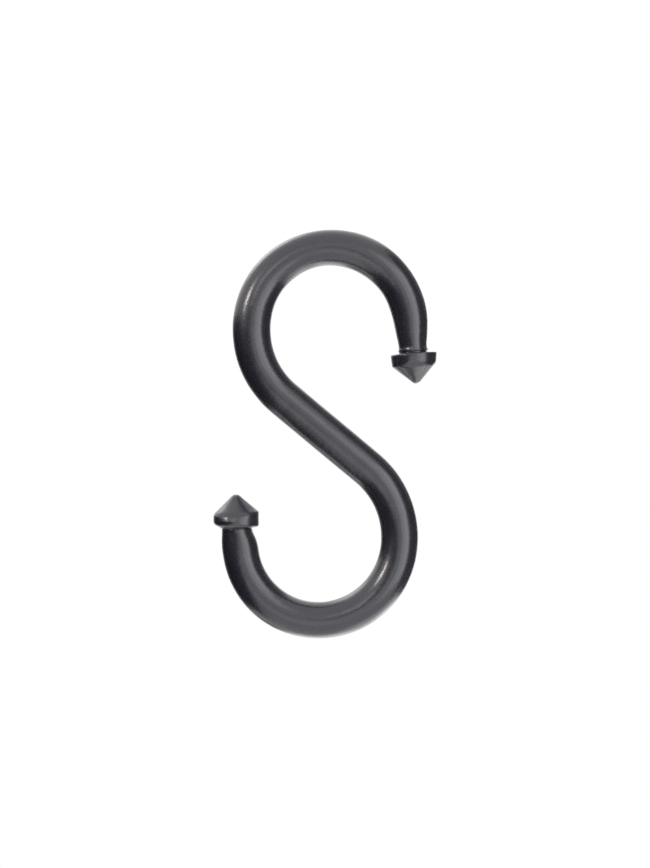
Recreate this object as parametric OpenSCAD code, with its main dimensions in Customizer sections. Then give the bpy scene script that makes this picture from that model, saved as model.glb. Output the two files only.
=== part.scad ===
// S hook: one round bar bent into two opposite hooks, joined by a straight diagonal.
// Each end is drawn down to a neck and carries a small collar with a blunt cone.
// The hook hangs in the XZ plane, and half of the bar's thickness is on either side of it.
// The origin is the rail seat: the underside of the bar at the top of the upper hook,
// where the rail bears.

/* [Bar] */
// Height of the whole hook, from the top of the upper hook to the bottom of the lower hook
overall_h = 70; // [64:0.5:100]
// Diameter of the round bar along the diagonal
bar_d = 6.36; // [5.2:0.02:8]
// How much thinner the bar gets at each section outwards from the diagonal
draw_down = 0.04; // [0.02:0.01:0.1]
// Slope of the straight diagonal, in degrees from the horizontal
diagonal_slope = 40; // [34:0.5:50]

/* [Upper hook] */
// Centreline radius of the shoulder, the bend next to the diagonal
upper_shoulder_r = 15.2; // [12:0.1:18]
// Degrees that the shoulder turns through
upper_shoulder_turn = 67; // [50:1:78]
// Centreline radius of the crown, the bend that goes over the rail
upper_crown_r = 13.5; // [11:0.1:17]
// Degrees that the crown turns through
upper_crown_turn = 157.5; // [145:0.5:165]
// Length of the straight end, over which the bar tapers down to its neck
upper_taper_l = 5.8; // [3:0.1:7]

/* [Lower hook] */
// Centreline radius of the shoulder, the bend next to the diagonal
lower_shoulder_r = 15.6; // [12:0.1:18]
// Degrees that the shoulder turns through
lower_shoulder_turn = 59; // [50:1:78]
// Centreline radius of the crown, the bend that carries the load
lower_crown_r = 13.7; // [11:0.1:17]
// Degrees that the crown turns through
lower_crown_turn = 165.5; // [145:0.5:172]
// Length of the straight end, over which the bar tapers down to its neck
lower_taper_l = 3.8; // [3:0.1:7]

/* [Tips] */
// Diameter of the neck, where the tapered bar meets the collar
neck_d = 4.9; // [3.6:0.1:5]
// Largest diameter of the collar, at its edge towards the bar
collar_d = 7.85; // [7.6:0.05:10]
// Diameter of the collar where the cone begins
cone_d = 7.4; // [5.6:0.1:7.6]
// Height of the sloping back of the collar, from the neck out to its edge
collar_back_h = 0.35; // [0.3:0.05:1.2]
// Height of the collar's band, from its edge to the cone
collar_band_h = 2.05; // [1.2:0.05:3]
// Height of the cone, from the band to the blunt point
cone_h = 3; // [2:0.05:5]
// Radius of the blunt point
nose_r = 0.6; // [0.3:0.05:0.9]
// Radius of the worn edges of the collar
edge_r = 0.3; // [0.1:0.05:0.4]

/* [Hidden] */
$fn = 96;
coat_colour = "#3a3b3e";
// Straight steps in the arc of a rounded edge, and in the arc of the blunt point
edge_steps = 4;
nose_steps = 6;
// Each section of the bar starts this far back, inside the thicker one before it
joint_lap = 0.05;

// Diameter of section i of the bar, counted outwards from the diagonal
function section_d(i) = bar_d - i * draw_down;
// The crown of each hook is the second section out
crown_d = section_d(2);
// Heading of the bar as it leaves the diagonal, turned from level
diagonal_heading = 180 - diagonal_slope;
// The bends of each hook in order outwards from the diagonal, as [radius, turn]
upper_bends = [[upper_shoulder_r, upper_shoulder_turn], [upper_crown_r, upper_crown_turn]];
lower_bends = [[lower_shoulder_r, lower_shoulder_turn], [lower_crown_r, lower_crown_turn]];
// From each end of the diagonal to the point of its hook where the bar runs level
upper_crest = to_crest(upper_bends, diagonal_heading);
lower_crest = to_crest(lower_bends, diagonal_heading);
// The diagonal takes up what is left of the height
diagonal_rise = overall_h - crown_d - upper_crest[1] - lower_crest[1];
diagonal_l = diagonal_rise / sin(diagonal_slope);

// Unit vector along v
function unit(v) = v / norm(v);

// Distance along and up from the start of some right-hand bends to where they run level
function to_crest(bends, heading, i = 0) =
    i == len(bends) ? [0, 0] :
    let (
        next = heading - bends[i][1],
        from = max(heading, 0),
        to = max(next, 0)
    )
    bends[i][0] * [sin(from) - sin(to), cos(to) - cos(from)] + to_crest(bends, next, i + 1);

// Points of the arc of radius r that rounds a corner between two other points
function round_corner(before, corner, after, r) =
    let (
        back = unit(before - corner),
        on = unit(after - corner),
        half = acos(back * on) / 2,
        centre = corner + unit(back + on) * r / sin(half),
        first = corner + back * r / tan(half),
        last = corner + on * r / tan(half)
    )
    [for (i = [0:edge_steps])
        centre + r * unit((first * (edge_steps - i) + last * i) / edge_steps - centre)];

// Half outline of a straight end of diameter d and its tip, as [radius, height]
function tip_outline(d, taper_l) =
    let (
        neck = [neck_d / 2, taper_l],
        rim = [collar_d / 2, taper_l + collar_back_h],
        foot = [cone_d / 2, rim[1] + collar_band_h],
        nose_z = foot[1] + cone_h - nose_r,
        to_nose = [foot[0], nose_z - foot[1]],
        slope = atan2(to_nose[1], to_nose[0]) + asin(nose_r / norm(to_nose)),
        nose_start = [nose_r * sin(slope), nose_z + nose_r * cos(slope)]
    )
    concat(
        [[0, -joint_lap], [d / 2, -joint_lap], [d / 2, 0], neck],
        round_corner(neck, rim, foot, edge_r),
        round_corner(rim, foot, nose_start, edge_r),
        [for (i = [0:nose_steps])
            let (a = slope * (1 - i / nose_steps))
            [nose_r * sin(a), nose_z + nose_r * cos(a)]]
    );

// A right-hand bend of the bar, which starts at the origin along +Y
module bend(r, turn, d) {
    lap_turn = joint_lap / r * 180 / PI;
    translate([r, 0, 0])
        rotate([0, 0, 180 - turn])
            rotate_extrude(angle = turn + lap_turn)
                translate([r, 0])
                    circle(d = d);
}

// Moves what follows to the end of a right-hand bend
module after_bend(r, turn) {
    translate([r, 0, 0])
        rotate([0, 0, -turn])
            translate([-r, 0, 0])
                children();
}

// The straight end of the bar along +Y, tapering to the neck, with its collar and cone
module tip(d, taper_l) {
    rotate([-90, 0, 0])
        rotate_extrude()
            polygon(tip_outline(d, taper_l));
}

// One hook: its bends one after the other, and then its tip
module arm(bends, taper_l, i = 0) {
    d = section_d(i + 1);
    if (i < len(bends)) {
        bend(bends[i][0], bends[i][1], d);
        after_bend(bends[i][0], bends[i][1])
            arm(bends, taper_l, i + 1);
    } else {
        tip(d, taper_l);
    }
}

// The whole hook, which is one piece
module hook() {
    color(coat_colour)
        translate([-upper_crest[0], 0, crown_d / 2 - upper_crest[1]])
            rotate([90, 0, 0])
                rotate([0, 0, diagonal_heading - 90]) {
                    arm(upper_bends, upper_taper_l);
                    translate([0, -diagonal_l, 0]) {
                        rotate([-90, 0, 0])
                            cylinder(h = diagonal_l, d = section_d(0));
                        rotate([0, 0, 180])
                            arm(lower_bends, lower_taper_l);
                    }
                }
}

hook();
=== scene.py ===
"""The looks of a coated S hook: one bent bar with a collared point at each end.

The hook is one swept mesh that stands for the CAD node. Lengths are named in millimetres and
become metres where the mesh, the stage, the lights and the camera are made.
"""
import math

import bmesh
import bpy
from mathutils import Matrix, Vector, noise


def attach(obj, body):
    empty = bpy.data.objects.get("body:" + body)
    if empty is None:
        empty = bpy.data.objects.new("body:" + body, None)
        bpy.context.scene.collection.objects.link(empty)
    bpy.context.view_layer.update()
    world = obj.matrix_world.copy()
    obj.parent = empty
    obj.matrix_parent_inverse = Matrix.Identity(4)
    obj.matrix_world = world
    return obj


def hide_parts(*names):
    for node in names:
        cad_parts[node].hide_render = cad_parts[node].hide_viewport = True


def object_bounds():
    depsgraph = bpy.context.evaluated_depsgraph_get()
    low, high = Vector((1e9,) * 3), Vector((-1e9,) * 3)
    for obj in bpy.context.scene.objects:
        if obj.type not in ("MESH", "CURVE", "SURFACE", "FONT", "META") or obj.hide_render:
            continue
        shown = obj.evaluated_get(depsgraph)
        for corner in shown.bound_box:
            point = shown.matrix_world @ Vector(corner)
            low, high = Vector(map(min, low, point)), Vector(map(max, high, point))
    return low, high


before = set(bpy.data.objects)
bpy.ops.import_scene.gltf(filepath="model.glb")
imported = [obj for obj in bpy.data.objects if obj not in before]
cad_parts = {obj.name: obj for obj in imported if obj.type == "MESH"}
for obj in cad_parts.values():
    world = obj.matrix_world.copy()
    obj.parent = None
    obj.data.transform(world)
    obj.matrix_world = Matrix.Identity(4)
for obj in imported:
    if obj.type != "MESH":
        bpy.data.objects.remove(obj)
cad_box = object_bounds()

MM = 0.001

# ---- The bar's centre line -------------------------------------------------------------------
# Slope of the straight diagonal, in degrees from the horizontal
DIAGONAL_SLOPE = 39.86
# From the middle of the diagonal outwards, each arm is straight, then bends, then straight.
# A bend is (radius, degrees turned).
UPPER_START = 9.85
UPPER_BENDS = [(15.34, 65.6), (13.54, 141.7), (15.7, 18.0)]
UPPER_END = 4.55
LOWER_START = 8.75
LOWER_BENDS = [(15.4, 61.4), (13.9, 85.5), (13.23, 73.8)]
LOWER_END = 4.5

# ---- The bar's thickness ---------------------------------------------------------------------
# Radius of each arm as (distance from the middle, radius): it thins a little over the crown
UPPER_RADII = [(0, 3.20), (12, 3.24), (24, 3.26), (34, 3.16), (43, 3.04), (53, 3.17), (60, 3.09)]
LOWER_RADII = [(0, 3.20), (8, 3.20), (16, 3.15), (30, 3.18), (36, 3.16), (44, 3.12), (55, 3.15),
               (62, 3.10)]

# The length at the end of the bar over which it turns towards the collar's plane
END_TURN_L = 2.5

# ---- The mesh --------------------------------------------------------------------------------
# Points around the bar, and about how far apart its rings are
SIDES = 96
RING_GAP = 0.32
# Straight steps in the arc of a rounded corner, and in the arc of the blunt nose
CORNER_STEPS = 6
NOSE_STEPS = 12
# Half the width under which a ring counts as the point that closes the mesh
POINT_R = 1e-6

# ---- The view --------------------------------------------------------------------------------
# Long side of the sensor
SENSOR = 36.0
# How far in front of the hook the camera is, and the height that it sees there
CAMERA_AWAY = 450.0
VIEW_HEIGHT = 148.5
# The place across and up that the camera looks at
AIM = (-1.04, -28.74)
# Nearest and farthest that the camera sees, in metres
CLIP_NEAR = 0.01
CLIP_FAR = 20.0


def smooth(share):
    """An ease from 0 to 1."""
    share = min(max(share, 0.0), 1.0)
    return share * share * (3 - 2 * share)


# ---- Shape -----------------------------------------------------------------------------------
class Station:
    """A place on the bar's centre line, the way the bar heads there, and how far along it is."""

    def __init__(self, x, z, heading, along):
        self.x = x
        self.z = z
        self.heading = heading
        self.along = along

    def place(self, on, out):
        """The point that far on along the heading and that far out to its left."""
        cos, sin = math.cos(self.heading), math.sin(self.heading)
        return Vector((self.x + on * cos - out * sin, self.z + on * sin + out * cos))


class Ring:
    """A ring of the sweep, given by its edges in the hook's plane and its front off the plane."""

    def __init__(self, outer, inner, front, depth, wear):
        self.outer = outer
        self.inner = inner
        # Where the front and the back of the ring lie in the hook's plane, and how far off it
        self.front = front
        self.depth = depth
        # How many times as uneven as the plain bar it is
        self.wear = wear


def walk(heading, start, bends, end):
    """Stations of one arm from the middle outwards, with right-hand bends."""
    x = z = along = 0.0
    stations = [Station(x, z, heading, along)]
    runs = [(None, start), *bends, (None, end)]
    for radius, amount in runs:
        length = amount if radius is None else radius * math.radians(amount)
        steps = max(2, round(length / RING_GAP))
        for _ in range(steps):
            turn = 0.0 if radius is None else math.radians(amount) / steps
            chord = length / steps if radius is None else 2 * radius * math.sin(turn / 2)
            heading -= turn / 2
            x += chord * math.cos(heading)
            z += chord * math.sin(heading)
            heading -= turn / 2
            along += length / steps
            stations.append(Station(x, z, heading, along))
    return stations


class Tip:
    """The end of an arm: how the bar draws down to its neck, and the collar and cone on it."""

    def __init__(self, taper, plain, neck_r, face, lean, shift, lip_r, lip, outer, inner, front,
                 top, nose_r):
        # The bar draws down over the taper, to a radius in the hook's plane and one across it,
        # and runs plain for the last stretch
        self.taper = taper
        self.plain = plain
        self.neck_r = neck_r
        # Degrees that the collar's plane, and the line through it, are turned from the bar's end
        self.face = face
        self.lean = lean
        # How far the collar sits outwards of the bar's line
        self.shift = shift
        # The same two radii where the bar's last edge flares, and over what length it does
        self.lip_r = lip_r
        self.lip = lip
        # Corners past the lip on each side of the hook and in front, as (height, radius, rounding)
        self.outer = outer
        self.inner = inner
        self.front = front
        # Height of the sharp point of each of these outlines, and the radius of the blunt nose
        self.top = top
        self.nose_r = nose_r


UPPER_TIP = Tip(
    taper=8.4, plain=0.8, neck_r=(2.42, 2.80), face=0.6, lean=0.5, shift=0.07,
    lip_r=(2.58, 2.96), lip=0.20,
    outer=[(0.10, 2.57, 0.05), (0.20, 2.27, 0.05), (0.42, 2.28, 0.05), (0.52, 2.80, 0.10),
           (0.62, 3.92, 0.14), (2.35, 3.66, 1.30)],
    inner=[(0.12, 2.58, 0.05), (0.20, 2.50, 0.05), (0.30, 2.52, 0.05), (0.42, 2.74, 0.10),
           (0.47, 4.00, 0.30), (2.52, 3.93, 0.40)],
    front=[(0.10, 2.95, 0.05), (0.20, 2.74, 0.05), (0.38, 2.75, 0.05), (0.48, 3.05, 0.10),
           (0.54, 3.95, 0.25), (2.45, 3.70, 2.20)],
    top=(6.02, 6.03, 6.02), nose_r=0.95,
)
LOWER_TIP = Tip(
    taper=3.6, plain=0.0, neck_r=(2.56, 2.95), face=-8.3, lean=-7.5, shift=0.0,
    lip_r=(2.63, 3.00), lip=0.12,
    outer=[(0.08, 2.65, 0.05), (0.14, 2.60, 0.05), (0.22, 2.62, 0.05), (0.30, 2.74, 0.03),
           (1.12, 4.03, 0.85), (2.72, 3.92, 1.10)],
    inner=[(0.08, 2.58, 0.05), (0.14, 2.50, 0.05), (0.24, 2.51, 0.05), (0.30, 2.66, 0.03),
           (0.42, 3.81, 0.38), (2.96, 3.88, 0.35)],
    front=[(0.08, 3.00, 0.05), (0.14, 2.90, 0.05), (0.22, 2.91, 0.05), (0.28, 3.06, 0.03),
           (0.38, 4.06, 0.95), (2.50, 3.74, 2.20)],
    top=(6.42, 6.36, 6.38), nose_r=1.1,
)


def rounded(corners):
    """Points of an outline whose corners, (height, radius, rounding), are rounded by arcs."""
    points = [Vector(corners[0][:2])]
    for before, corner, after in zip(corners, corners[1:], corners[2:]):
        here = Vector(corner[:2])
        back = (Vector(before[:2]) - here).normalized()
        on = (Vector(after[:2]) - here).normalized()
        half = back.angle(on) / 2
        rounding = corner[2]
        reach = rounding / math.tan(half)
        centre = here + (back + on).normalized() * rounding / math.sin(half)
        first = here + back * reach - centre
        last = here + on * reach - centre
        for i in range(CORNER_STEPS + 1):
            share = i / CORNER_STEPS
            points.append(centre + (first.lerp(last, share)).normalized() * rounding)
    return points


def nose(foot, top, nose_r):
    """Points of the ball that the cone's slope runs into."""
    half_angle = math.atan2(foot[1], top - foot[0])
    centre = top - nose_r / math.sin(half_angle)
    points = []
    for i in range(NOSE_STEPS + 1):
        a = (math.pi / 2 - half_angle) * (1 - i / NOSE_STEPS)
        points.append(Vector((centre + nose_r * math.cos(a), nose_r * math.sin(a))))
    return points


def tip_outline(lip_r, corners, top, nose_r):
    """Outline of one side of a tip past the end of the bar, as (height, radius)."""
    sides = rounded([(0.0, lip_r, 0.0), *corners, (top, 0.0, 0.0)])
    return sides + nose(corners[-1], top, nose_r)


def tip_rings(base, tip):
    """Rings of a tip on a base station, from its three outlines."""
    outlines = []
    side_lip, front_lip = tip.lip_r
    lips = (side_lip, side_lip, front_lip)
    for lip_r, corners, top in zip(lips, (tip.outer, tip.inner, tip.front), tip.top):
        outlines.append(tip_outline(lip_r, corners, top, tip.nose_r))
    rings = []
    ends = list(zip(*outlines))
    for starts, stops in zip(ends, ends[1:]):
        steps = max(1, math.ceil((stops[0] - starts[0]).length / RING_GAP))
        for i in range(1, steps + 1):
            outer, inner, front = (a.lerp(b, i / steps) for a, b in zip(starts, stops))
            rings.append(Ring(base.place(outer.x, tip.shift + outer.y),
                              base.place(inner.x, tip.shift - inner.y),
                              base.place(front.x, tip.shift), front.y, TIP_WEAR))
    # The outlines meet at one point
    last = rings[-1]
    last.outer = last.inner = last.front
    return rings


def bar_radius(radii, along):
    """Radius of the bar at a distance from the middle, eased from one named radius to the next."""
    for (start, first), (end, second) in zip(radii, radii[1:]):
        if along < end:
            return first + (second - first) * smooth((along - start) / (end - start))
    return radii[-1][1]


def arm(heading, start, bends, end, radii, tip):
    """Stations of one arm and all its rings, from the middle of the diagonal to the point."""
    stations = walk(math.radians(heading), start, bends, end)
    length = stations[-1].along
    rings = []
    for s in stations:
        left = length - s.along
        share = min(max((left - tip.plain) / (tip.taper - tip.plain), 0.0), 1.0)
        full = bar_radius(radii, s.along)
        side, depth = (
            neck + (full - neck) * math.sin(share * math.pi / 2)
            + (lip - neck) * math.exp(-left / tip.lip)
            for neck, lip in zip(tip.neck_r, tip.lip_r)
        )
        # The last stretch turns towards the collar's plane
        s.heading += math.radians(tip.face) * smooth(1 - left / END_TURN_L)
        wear = 1 + (TIP_WEAR - 1) * smooth(1 - left / tip.taper)
        rings.append(Ring(s.place(0, side), s.place(0, -side), s.place(0, 0), depth, wear))
    last = stations[-1]
    base = Station(last.x, last.z, last.heading + math.radians(tip.lean - tip.face), length)
    return stations, rings + tip_rings(base, tip)


def hook_rings():
    """Rings from the lower point to the upper point, with the origin at the rail seat."""
    stations, upper = arm(180 - DIAGONAL_SLOPE, UPPER_START, UPPER_BENDS, UPPER_END,
                          UPPER_RADII, UPPER_TIP)
    _, lower = arm(-DIAGONAL_SLOPE, LOWER_START, LOWER_BENDS, LOWER_END, LOWER_RADII, LOWER_TIP)
    # Seen along the whole bar, the outside of the lower arm is on the other side
    rings = [Ring(ring.inner, ring.outer, ring.front, ring.depth, ring.wear)
             for ring in lower[::-1]]
    rings += upper[1:]
    # The crest is where the bar runs level, between two stations of the upper arm
    for before, crest in zip(stations, stations[1:]):
        if crest.heading <= 0:
            break
    share = before.heading / (before.heading - crest.heading)
    seat = before.place(0, 0).lerp(crest.place(0, 0), share)
    # The origin is at the bar's underside there, so the CAD box reaches up by the bar's diameter
    seat.y -= cad_box[1].z / MM / 2
    for ring in rings:
        ring.outer = ring.outer - seat
        ring.inner = ring.inner - seat
        ring.front = ring.front - seat
    return rings


# Height of the coat's unevenness and how far apart its swells lie, coarse to fine
WAVES = [(0.030, 9.0), (0.014, 2.6), (0.006, 0.9)]
# How many times as uneven the tips are, and the radius under which they smooth out to the point
TIP_WEAR = 2.4
EVEN_R = 1.5


def unevenness(point):
    """How far the coat stands proud at a point of the bar."""
    total = 0.0
    for height, apart in WAVES:
        total += height * noise.noise(point / apart)
    return total


def in_plane(point):
    """A point of the hook's plane in space."""
    return Vector((point.x, 0.0, point.y))


def hook_mesh(rings):
    """One closed mesh swept along the rings."""
    bm = bmesh.new()
    loops = []
    for ring in rings:
        centre = in_plane((ring.outer + ring.inner) / 2)
        half = in_plane((ring.outer - ring.inner) / 2)
        if half.length < POINT_R:
            loops.append([bm.verts.new(centre * MM)])
            continue
        depth = Vector((0.0, ring.depth, 0.0))
        shift = in_plane(ring.front) - centre
        loop = []
        for i in range(SIDES):
            a = 2 * math.pi * i / SIDES
            out = half * math.cos(a) + depth * math.sin(a)
            # Eased in the hook's plane to where the ring's front and back lie
            point = centre + out + shift * math.sin(a) ** 2
            lift = ring.wear * unevenness(point) * min(1.0, out.length / EVEN_R)
            point += out.normalized() * lift
            loop.append(bm.verts.new(point * MM))
        loops.append(loop)
    for k, (loop, following) in enumerate(zip(loops, loops[1:])):
        # The tips have a coat of their own, the second material
        coat = int(min(rings[k].wear, rings[k + 1].wear) >= TIP_WEAR)
        for i in range(SIDES):
            j = (i + 1) % SIDES
            if len(loop) == 1:
                face = bm.faces.new((loop[0], following[i], following[j]))
            elif len(following) == 1:
                face = bm.faces.new((loop[i], following[0], loop[j]))
            else:
                face = bm.faces.new((loop[i], following[i], following[j], loop[j]))
            face.material_index = coat
            face.smooth = True
    bmesh.ops.recalc_face_normals(bm, faces=bm.faces)
    mesh = bpy.data.meshes.new("hook_body")
    bm.to_mesh(mesh)
    bm.free()
    return mesh


# ---- Materials -------------------------------------------------------------------------------
# Most of a noise's values lie between these two
NOISE_LOW = 0.35
NOISE_HIGH = 0.65
# The coat's colour varies between these two
COAT_DARK = (0.0135, 0.0130, 0.020)
COAT_LIGHT = (0.0185, 0.0178, 0.027)
# How far apart the coat's features lie: clouds of colour, orange peel and fine grain
CLOUD_APART = 3.0
PEEL_APART = 0.7
GRAIN_APART = 0.22
# Roughness of the grain's noise, and how high the orange peel and the grain stand
GRAIN_DETAIL_R = 0.6
PEEL_H = 0.012
GRAIN_H = 0.006
COAT_IOR = 1.5
# Reflections are a little violet
COAT_TINT = (0.96, 0.92, 1.0, 1.0)


class Nodes:
    """Makes and links the nodes of one material or world."""

    def __init__(self, owner):
        owner.use_nodes = True
        self.tree = owner.node_tree
        self.tree.nodes.clear()

    def add(self, kind, **settings):
        node = self.tree.nodes.new("ShaderNode" + kind)
        for name, value in settings.items():
            setattr(node, name, value)
        return node

    def link(self, out_socket, in_socket):
        self.tree.links.new(out_socket, in_socket)

    def noise(self, where, apart, detail, roughness=0.5):
        """Noise whose features lie about that many millimetres apart."""
        node = self.add("TexNoise")
        node.inputs["Scale"].default_value = 1 / (apart * MM)
        node.inputs["Detail"].default_value = detail
        node.inputs["Roughness"].default_value = roughness
        self.link(where, node.inputs["Vector"])
        return node.outputs["Fac"]

    def ramp(self, value, low, high):
        """The middle of a noise's values mapped to the range from low to high."""
        node = self.add("MapRange")
        self.link(value, node.inputs["Value"])
        node.inputs["From Min"].default_value = NOISE_LOW
        node.inputs["From Max"].default_value = NOISE_HIGH
        node.inputs["To Min"].default_value = low
        node.inputs["To Max"].default_value = high
        return node.outputs["Result"]

    def mix(self, share, a, b):
        """A colour between two colours."""
        node = self.add("Mix", data_type="RGBA")
        self.link(share, node.inputs["Factor"])
        node.inputs["A"].default_value = (*a, 1)
        node.inputs["B"].default_value = (*b, 1)
        return node.outputs["Result"]

    def bump(self, height, distance, normal=None):
        """A bump of that distance in millimetres on top of a normal."""
        node = self.add("Bump")
        node.inputs["Strength"].default_value = 1.0
        node.inputs["Distance"].default_value = distance * MM
        self.link(height, node.inputs["Height"])
        if normal is not None:
            self.link(normal, node.inputs["Normal"])
        return node.outputs["Normal"]


def coat_material(name, smooth_r, rough_r, over_r):
    """A charcoal coat whose roughness varies with its grain, under a clear one of its own."""
    material = bpy.data.materials.new(name)
    n = Nodes(material)
    where = n.add("TexCoord").outputs["Object"]
    shader = n.add("BsdfPrincipled")
    output = n.add("OutputMaterial")
    n.link(shader.outputs["BSDF"], output.inputs["Surface"])

    cloud = n.noise(where, CLOUD_APART, detail=3)
    grain = n.noise(where, GRAIN_APART, detail=3, roughness=GRAIN_DETAIL_R)
    n.link(n.mix(n.ramp(cloud, 0, 1), COAT_DARK, COAT_LIGHT), shader.inputs["Base Color"])
    n.link(n.ramp(grain, smooth_r, rough_r), shader.inputs["Roughness"])
    orange_peel = n.noise(where, PEEL_APART, detail=2)
    first = n.bump(orange_peel, PEEL_H)
    second = n.bump(grain, GRAIN_H, normal=first)
    n.link(second, shader.inputs["Normal"])
    n.link(second, shader.inputs["Coat Normal"])
    shader.inputs["Metallic"].default_value = 0.0
    shader.inputs["IOR"].default_value = COAT_IOR
    shader.inputs["Specular Tint"].default_value = COAT_TINT
    shader.inputs["Coat Weight"].default_value = 1.0
    shader.inputs["Coat Roughness"].default_value = over_r
    return material


def shown_to_camera(n):
    """1 where a ray comes from the camera or a reflection of it, and 0 elsewhere."""
    path = n.add("LightPath")
    first = n.add("Math", operation="MAXIMUM")
    n.link(path.outputs["Is Camera Ray"], first.inputs[0])
    n.link(path.outputs["Is Glossy Ray"], first.inputs[1])
    second = n.add("Math", operation="MAXIMUM")
    n.link(first.outputs[0], second.inputs[0])
    n.link(path.outputs["Is Transmission Ray"], second.inputs[1])
    return second.outputs[0]


def floor_material(level, added):
    """A pale floor that keeps a shadow and shows as paper white."""
    material = bpy.data.materials.new("floor_white")
    n = Nodes(material)
    diffuse = n.add("BsdfDiffuse")
    diffuse.inputs["Color"].default_value = (level, level, level, 1)
    scaled = n.add("Math", operation="MULTIPLY")
    n.link(shown_to_camera(n), scaled.inputs[0])
    scaled.inputs[1].default_value = added
    glow = n.add("Emission")
    n.link(scaled.outputs[0], glow.inputs["Strength"])
    both = n.add("AddShader")
    n.link(diffuse.outputs[0], both.inputs[0])
    n.link(glow.outputs[0], both.inputs[1])
    output = n.add("OutputMaterial")
    n.link(both.outputs[0], output.inputs["Surface"])
    return material


def flat_material(name, level):
    """A plain grey that reflects that share of the light on it."""
    material = bpy.data.materials.new(name)
    n = Nodes(material)
    diffuse = n.add("BsdfDiffuse")
    diffuse.inputs["Color"].default_value = (level, level, level, 1)
    output = n.add("OutputMaterial")
    n.link(diffuse.outputs[0], output.inputs["Surface"])
    return material


# ---- The hook --------------------------------------------------------------------------------
def add_object(name, mesh):
    piece = bpy.data.objects.new(name, mesh)
    bpy.context.scene.collection.objects.link(piece)
    return piece


def make_hook():
    hook = add_object("hook_body", hook_mesh(hook_rings()))
    coat = coat_material("charcoal_coat", smooth_r=0.25, rough_r=0.39, over_r=0.2)
    dull = coat_material("charcoal_coat_dull", smooth_r=0.28, rough_r=0.42, over_r=0.22)
    hook.data.materials.append(coat)
    hook.data.materials.append(dull)
    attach(hook, "root")
    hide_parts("hook")


# ---- Stage and light -------------------------------------------------------------------------
# Middle of the hook, which the cards and lamps are placed around
MIDDLE = Vector((-0.9, 0.0, -28.78)) * MM
# How far the floor lies below the hook, and half of its width
FLOOR_DROP = 900.0
FLOOR_HALF = 4000.0
# How far to each side of the hook the side cards stand
SIDE_AWAY = 400


def sheet_mesh(name, corners):
    mesh = bpy.data.meshes.new(name)
    mesh.from_pydata([tuple(c) for c in corners], [], [tuple(range(len(corners)))])
    return mesh


def make_floor(lowest):
    half = FLOOR_HALF * MM
    z = lowest - FLOOR_DROP * MM
    corners = [(-half, -half, z), (half, -half, z), (half, half, z), (-half, half, z)]
    floor = add_object("floor", sheet_mesh("floor", corners))
    floor.data.materials.append(floor_material(level=0.8, added=0.45))


def towards(right, up):
    """Unit vector from the hook to a place that many degrees right of and above the camera."""
    a = math.radians(right)
    e = math.radians(up)
    return Vector((math.sin(a) * math.cos(e), -math.cos(a) * math.cos(e), math.sin(e)))


def add_card(name, corners, level):
    """A grey card that the camera doesn't see and that throws no shadow on the floor."""
    card = add_object(name, sheet_mesh(name, corners))
    card.data.materials.append(flat_material(name + "_grey", level))
    card.visible_camera = False
    card.visible_shadow = False


def make_side_card(name, side, front, back, front_low, back_low, high, level):
    """A card beside the hook, along the line of sight, whose lower edge may slope."""
    x = MIDDLE.x + side * MM
    front_y = -front * MM
    back_y = back * MM
    top = MIDDLE.z + high * MM
    corners = [(x, front_y, MIDDLE.z + front_low * MM), (x, back_y, MIDDLE.z + back_low * MM),
               (x, back_y, top), (x, front_y, top)]
    add_card(name, corners, level)


def make_facing_card(name, away, directions, level):
    """A card that faces the hook, with its corners in the given directions, right and up."""
    rays = [towards(right, up) for right, up in directions]
    facing = sum(rays, Vector()).normalized()
    corners = [MIDDLE + ray * (away * MM / ray.dot(facing)) for ray in rays]
    add_card(name, corners, level)


def make_lamp(name, right, up, away, width, height, level, colour=(1, 1, 1)):
    """An area lamp that faces the hook, with the radiance given by its level."""
    data = bpy.data.lights.new(name, "AREA")
    data.shape = "RECTANGLE"
    data.size = width * MM
    data.size_y = height * MM
    data.color = colour
    # An area lamp's power spreads over its area and over pi
    data.energy = level * math.pi * width * height * MM * MM
    lamp = bpy.data.objects.new(name, data)
    bpy.context.scene.collection.objects.link(lamp)
    direction = towards(right, up)
    lamp.location = MIDDLE + direction * away * MM
    lamp.rotation_mode = "QUATERNION"
    lamp.rotation_quaternion = direction.to_track_quat("Z", "Y")
    lamp.visible_camera = False


def make_world(shown, plain):
    """White behind the hook and in its reflections, and a plain level of light on it."""
    world = bpy.data.worlds.new("studio")
    bpy.context.scene.world = world
    n = Nodes(world)
    level = n.add("MapRange")
    n.link(shown_to_camera(n), level.inputs["Value"])
    level.inputs["To Min"].default_value = plain
    level.inputs["To Max"].default_value = shown
    background = n.add("Background")
    background.inputs["Color"].default_value = (1, 1, 1, 1)
    n.link(level.outputs["Result"], background.inputs["Strength"])
    output = n.add("OutputWorld")
    n.link(background.outputs[0], output.inputs["Surface"])


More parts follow.
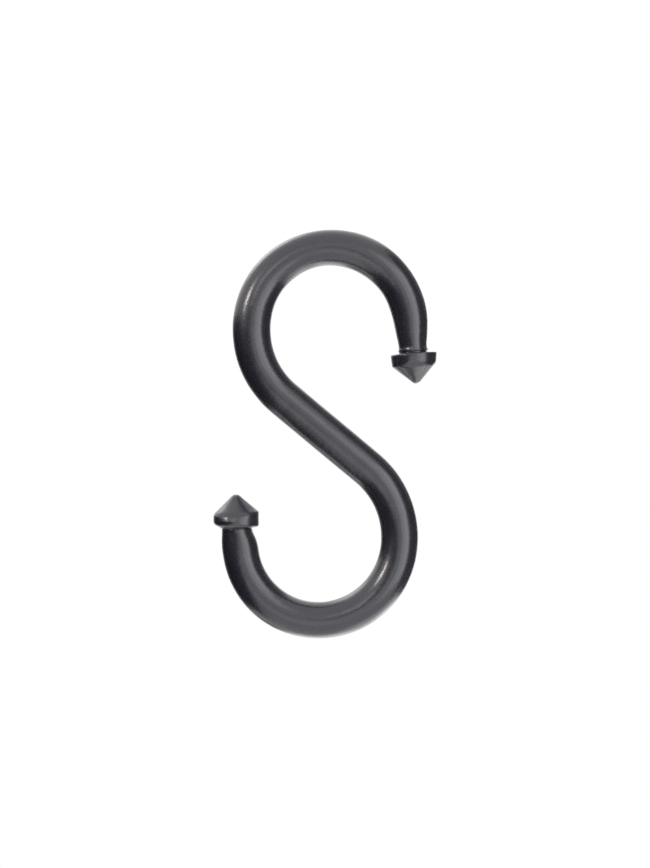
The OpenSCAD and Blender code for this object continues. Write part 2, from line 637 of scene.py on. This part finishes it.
def make_lights():
    make_world(shown=1.0, plain=0.8)
    make_side_card("dark_left_front", side=-SIDE_AWAY, front=1000, back=40,
                   front_low=-310, back_low=-590, high=85, level=0.01)
    make_side_card("dark_left_back", side=-SIDE_AWAY, front=-40, back=380,
                   front_low=-440, back_low=-440, high=85, level=0.01)
    make_side_card("grey_left_back", side=-SIDE_AWAY, front=-380, back=900,
                   front_low=-440, back_low=-440, high=85, level=0.4)
    make_side_card("dark_right", side=SIDE_AWAY, front=190, back=700,
                   front_low=-330, back_low=-330, high=110, level=0.14)
    make_side_card("dark_right_high", side=SIDE_AWAY, front=190, back=140,
                   front_low=110, back_low=110, high=560, level=0.14)
    make_side_card("grey_right_high", side=SIDE_AWAY, front=-140, back=700,
                   front_low=110, back_low=110, high=620, level=0.3)
    make_facing_card("dark_wedge", away=620, level=0.02, directions=[
        (-5, -3), (-5, 4), (-16, 11), (-32, 11), (-32, -22), (-16, -9)])
    make_facing_card("grey_low_left", away=600, level=0.45, directions=[
        (-138, -30), (-138, -54), (-165, -54), (-165, -30)])
    make_lamp("key", right=-54, up=19.9, away=1500, width=215, height=225, level=26,
              colour=(1.0, 0.93, 0.85))
    make_lamp("fill", right=-16, up=17, away=620, width=190, height=130, level=1.5)
    make_lamp("front_low", right=-10, up=-20, away=500, width=260, height=220, level=0.35)
    make_lamp("panel", right=38, up=5, away=500, width=380, height=600, level=1.0)
    make_lamp("panel_edge", right=49, up=5, away=480, width=150, height=560, level=0.6)
    make_lamp("rim_below", right=180, up=-52, away=450, width=240, height=300, level=0.8)
    make_lamp("rim_right", right=146, up=-36, away=450, width=150, height=150, level=0.8)
    make_lamp("rim_left", right=-142, up=42, away=450, width=220, height=220, level=1.3)
    make_lamp("under_tip", right=118, up=-60, away=130, width=90, height=90, level=0.8)


# ---- Camera ----------------------------------------------------------------------------------
def make_camera():
    data = bpy.data.cameras.new("camera")
    data.type = "PERSP"
    data.sensor_width = SENSOR
    data.lens = SENSOR * CAMERA_AWAY / VIEW_HEIGHT
    data.clip_start = CLIP_NEAR
    data.clip_end = CLIP_FAR
    camera = bpy.data.objects.new("camera", data)
    bpy.context.scene.collection.objects.link(camera)
    camera.location = Vector((AIM[0], -CAMERA_AWAY, AIM[1])) * MM
    camera.rotation_euler = (math.pi / 2, 0, 0)
    bpy.context.scene.camera = camera


bpy.context.scene.view_settings.view_transform = "Standard"
make_hook()
make_floor(cad_box[0].z)
make_lights()
make_camera()
